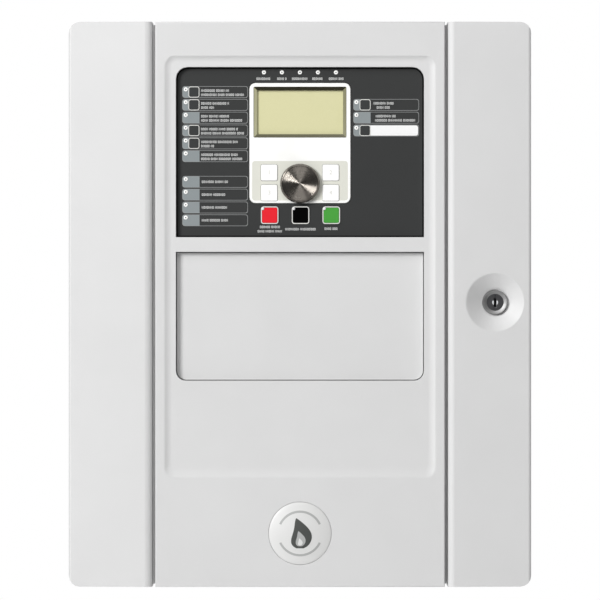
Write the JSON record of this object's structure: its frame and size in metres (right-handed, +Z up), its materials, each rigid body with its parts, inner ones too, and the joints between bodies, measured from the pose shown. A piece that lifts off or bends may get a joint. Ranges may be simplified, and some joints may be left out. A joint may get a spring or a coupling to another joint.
{
  "type": "fire alarm control panel",
  "caption": "Wall-mounted fire alarm control panel: grey cabinet with hinged key-locked front, display, jog dial, keys and zone lamps.",
  "frame": {"origin": "centre of the cabinet's wall face", "axes": "+Y into the wall, +Z up, +X to the right of someone facing the panel"},
  "size_m": [0.421, 0.1142, 0.514],
  "materials": {
    "cabinet_grey": "fine powder coat, light grey",
    "wing_grey": "fine moulded grain, light grey",
    "fascia_grey": "fine moulded grain, light grey",
    "insert_grey": "fine moulded grain, light grey",
    "overlay_charcoal": "screen-printed satin polyester film",
    "white_plastic": "smooth white",
    "badge_white": "smooth white, domed",
    "lcd_olive": "pale olive display, blank",
    "lamp_clear": "clear acrylic lens",
    "key_red": "satin red",
    "key_black": "satin black",
    "key_green": "satin green",
    "key_charcoal": "satin charcoal",
    "dial_metal": "spun face, anodised dark",
    "steel": "satin",
    "zinc_plate": "zinc plated sheet",
    "chrome": "bright plated",
    "brass": "plain",
    "lock_black": "black lacquered plug",
    "circuit_green": "solder mask",
    "terminal_green": "moulded",
    "black_plastic": "moulded",
    "black_rubber": "matt"
  },
  "bodies": {
    "cabinet": {"back_box": "cabinet_grey", "chassis_plate": "zinc_plate", "main_board": "circuit_green", "power_supply": "zinc_plate", "battery_left": "black_plastic", "battery_right": "black_plastic", "battery_clamp": "zinc_plate", "terminal_block_left": "terminal_green", "terminal_block_right": "terminal_green", "entry_plug_1": "black_rubber", "entry_plug_2": "black_rubber", "entry_plug_3": "black_rubber", "entry_plug_4": "black_rubber", "hinge_pin_upper": "steel", "hinge_pin_lower": "steel", "lock_keeper": "steel", "earth_stud": "brass"},
    "door": {"door_frame": "zinc_plate", "left_wing": "wing_grey", "right_wing": "wing_grey", "centre_fascia": "fascia_grey", "insert_panel": "insert_grey", "indicator_panel": "overlay_charcoal", "display_bezel": "white_plastic", "badge": "badge_white", "lcd_glass": "lcd_olive", "lcd_module": "steel", "ui_board": "circuit_green", "ui_rear_cover": "black_plastic", "buzzer": "black_plastic", "encoder_housing": "black_plastic", "light_guide_top": "lamp_clear", "light_guide_left": "lamp_clear", "light_guide_right": "lamp_clear", "light_guide_keys": "lamp_clear", "lock_barrel": "chrome", "lock_nut": "steel"},
    "lock_cylinder": {"lock_plug": "lock_black", "lock_cam": "steel"},
    "dial_rotor": {"encoder_rotor": "black_plastic"},
    "dial_knob": {"encoder_shaft": "steel", "jog_dial": "dial_metal"},
    "sounder_key": {"sounder_key": "key_red"},
    "silence_key": {"silence_key": "key_black"},
    "reset_key": {"reset_key": "key_green"},
    "function_key_1": {"function_key_1": "white_plastic"},
    "function_key_2": {"function_key_2": "white_plastic"},
    "function_key_3": {"function_key_3": "white_plastic"},
    "function_key_4": {"function_key_4": "white_plastic"},
    "zone_key_1": {"zone_key_1": "key_charcoal"},
    "zone_key_2": {"zone_key_2": "key_charcoal"},
    "zone_key_3": {"zone_key_3": "key_charcoal"},
    "zone_key_4": {"zone_key_4": "key_charcoal"},
    "zone_key_5": {"zone_key_5": "key_charcoal"},
    "zone_key_6": {"zone_key_6": "key_charcoal"}
  },
  "joints": [
    {"name": "door_hinge", "type": "hinge", "parent": "cabinet", "child": "door", "pos_m": [-0.207, -0.072, 0], "axis": [0, 0, -1], "range_deg": [0, 110]},
    {"name": "lock_turn", "type": "hinge", "parent": "door", "child": "lock_cylinder", "pos_m": [0.1778, -0.1011, 0.0018], "axis": [0, 1, 0], "range_deg": [0, 90]},
    {"name": "dial_turn", "type": "hinge", "parent": "door", "child": "dial_rotor", "pos_m": [0, -0.1035, 0.1099], "axis": [0, -1, 0], "continuous": true},
    {"name": "dial_press", "type": "slide", "parent": "dial_rotor", "child": "dial_knob", "axis": [0, 1, 0], "range_m": [0, 0.0008], "stiffness_N_per_m": 600, "springref_m": -0.0005},
    {"name": "sounder_key_press", "type": "slide", "parent": "door", "child": "sounder_key", "axis": [0, 1, 0], "range_m": [0, 0.0012], "stiffness_N_per_m": 400, "springref_m": -0.0005},
    {"name": "silence_key_press", "type": "slide", "parent": "door", "child": "silence_key", "axis": [0, 1, 0], "range_m": [0, 0.0012], "stiffness_N_per_m": 400, "springref_m": -0.0005},
    {"name": "reset_key_press", "type": "slide", "parent": "door", "child": "reset_key", "axis": [0, 1, 0], "range_m": [0, 0.0012], "stiffness_N_per_m": 400, "springref_m": -0.0005},
    {"name": "function_key_1_press", "type": "slide", "parent": "door", "child": "function_key_1", "axis": [0, 1, 0], "range_m": [0, 0.0012], "stiffness_N_per_m": 400, "springref_m": -0.0005},
    {"name": "function_key_2_press", "type": "slide", "parent": "door", "child": "function_key_2", "axis": [0, 1, 0], "range_m": [0, 0.0012], "stiffness_N_per_m": 400, "springref_m": -0.0005},
    {"name": "function_key_3_press", "type": "slide", "parent": "door", "child": "function_key_3", "axis": [0, 1, 0], "range_m": [0, 0.0012], "stiffness_N_per_m": 400, "springref_m": -0.0005},
    {"name": "function_key_4_press", "type": "slide", "parent": "door", "child": "function_key_4", "axis": [0, 1, 0], "range_m": [0, 0.0012], "stiffness_N_per_m": 400, "springref_m": -0.0005},
    {"name": "zone_key_1_press", "type": "slide", "parent": "door", "child": "zone_key_1", "axis": [0, 1, 0], "range_m": [0, 0.0012], "stiffness_N_per_m": 400, "springref_m": -0.0005},
    {"name": "zone_key_2_press", "type": "slide", "parent": "door", "child": "zone_key_2", "axis": [0, 1, 0], "range_m": [0, 0.0012], "stiffness_N_per_m": 400, "springref_m": -0.0005},
    {"name": "zone_key_3_press", "type": "slide", "parent": "door", "child": "zone_key_3", "axis": [0, 1, 0], "range_m": [0, 0.0012], "stiffness_N_per_m": 400, "springref_m": -0.0005},
    {"name": "zone_key_4_press", "type": "slide", "parent": "door", "child": "zone_key_4", "axis": [0, 1, 0], "range_m": [0, 0.0012], "stiffness_N_per_m": 400, "springref_m": -0.0005},
    {"name": "zone_key_5_press", "type": "slide", "parent": "door", "child": "zone_key_5", "axis": [0, 1, 0], "range_m": [0, 0.0012], "stiffness_N_per_m": 400, "springref_m": -0.0005},
    {"name": "zone_key_6_press", "type": "slide", "parent": "door", "child": "zone_key_6", "axis": [0, 1, 0], "range_m": [0, 0.0012], "stiffness_N_per_m": 400, "springref_m": -0.0005}
  ]
}
